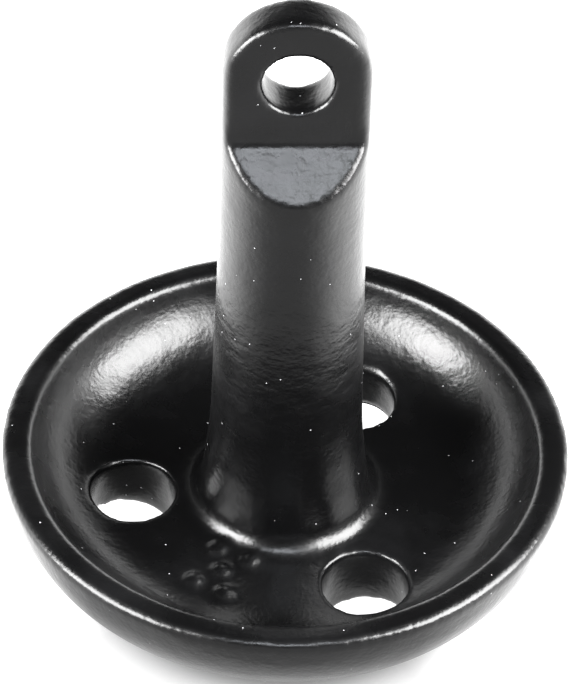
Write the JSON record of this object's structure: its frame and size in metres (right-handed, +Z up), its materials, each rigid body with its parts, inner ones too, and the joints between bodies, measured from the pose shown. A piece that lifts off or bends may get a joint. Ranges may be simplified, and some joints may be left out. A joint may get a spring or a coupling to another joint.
{
  "type": "mushroom anchor",
  "caption": "Vinyl-coated cast-iron mushroom anchor with a drained dish, a round tapered shank and a flat-sided eye for the line.",
  "frame": {"origin": "middle of the foot, on the surface that the anchor stands on", "axes": "+Z up the shank; Y along the hole of the eye; X across the flats of the eye"},
  "size_m": [0.141, 0.141, 0.1695],
  "materials": {
    "cast_iron": "as cast, dark grey, sealed under the coating",
    "vinyl": "dipped black vinyl, semi-gloss, slightly uneven over the casting"
  },
  "bodies": {
    "root": {"iron_casting": "cast_iron", "vinyl_coating": "vinyl"}
  },
  "joints": []
}
